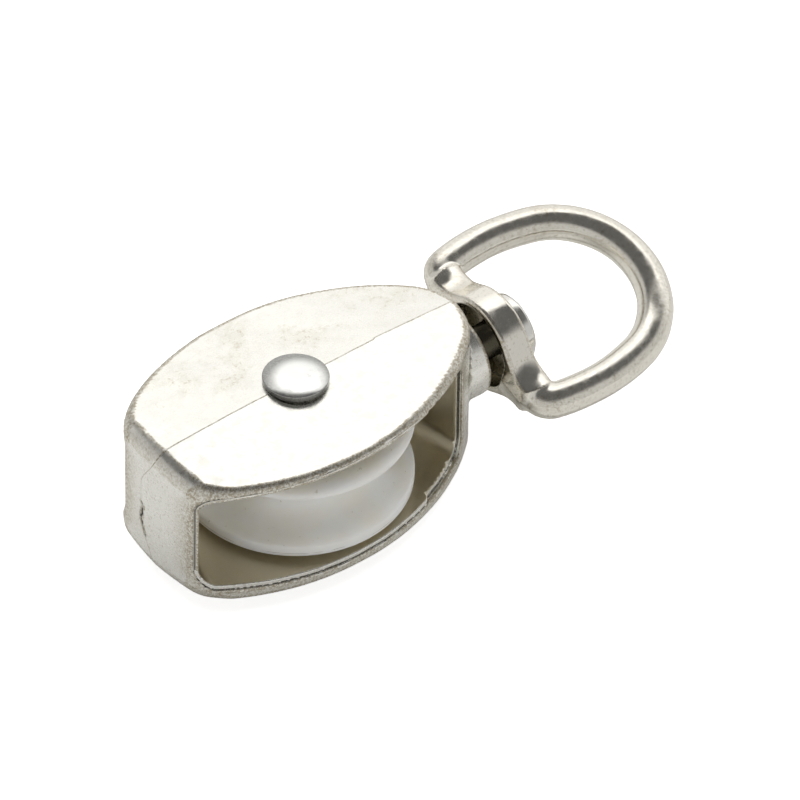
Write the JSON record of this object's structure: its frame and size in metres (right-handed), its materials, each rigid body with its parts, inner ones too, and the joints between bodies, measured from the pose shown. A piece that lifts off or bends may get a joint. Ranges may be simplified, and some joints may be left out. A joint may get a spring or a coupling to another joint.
{
  "type": "single sheave block",
  "caption": "Small single rope block: boat-shaped cast housing, grooved nylon sheave on a riveted axle, and a D-shaped eye that swivels on a headed pin.",
  "frame": {"origin": "centre of the flat end of the lower axle rivet head, on the sheave's axle axis, where the block lies on a table", "axes": "+X along the block from the axle to the swivel eye, +Z along the axle through the cheeks, +Y across the block"},
  "size_m": [0.0666, 0.0254, 0.0199],
  "materials": {
    "nickel_plate": "nickel plate on a sand-grained zinc casting, semi-gloss, with a fine mould line",
    "eye_nickel": "nickel plate on a zinc casting, glossier than the housing",
    "rivet_steel": "bright plated steel, domed by the riveting tool",
    "pin_steel": "bright plated steel with a peened, slightly uneven head",
    "white_nylon": "milky, slightly translucent moulded nylon with a satin surface"
  },
  "bodies": {
    "housing": {"housing": "nickel_plate", "axle_rivet": "rivet_steel", "swivel_pin": "pin_steel"},
    "sheave": {"sheave": "white_nylon"},
    "swivel_eye": {"swivel_eye": "eye_nickel"}
  },
  "joints": [
    {"name": "sheave_spin", "type": "hinge", "parent": "housing", "child": "sheave", "pos_m": [0, 0, 0.00996], "axis": [0, 0, 1], "continuous": true},
    {"name": "eye_swivel", "type": "hinge", "parent": "housing", "child": "swivel_eye", "pos_m": [0.026, 0, 0.00996], "axis": [1, 0, 0], "continuous": true}
  ]
}
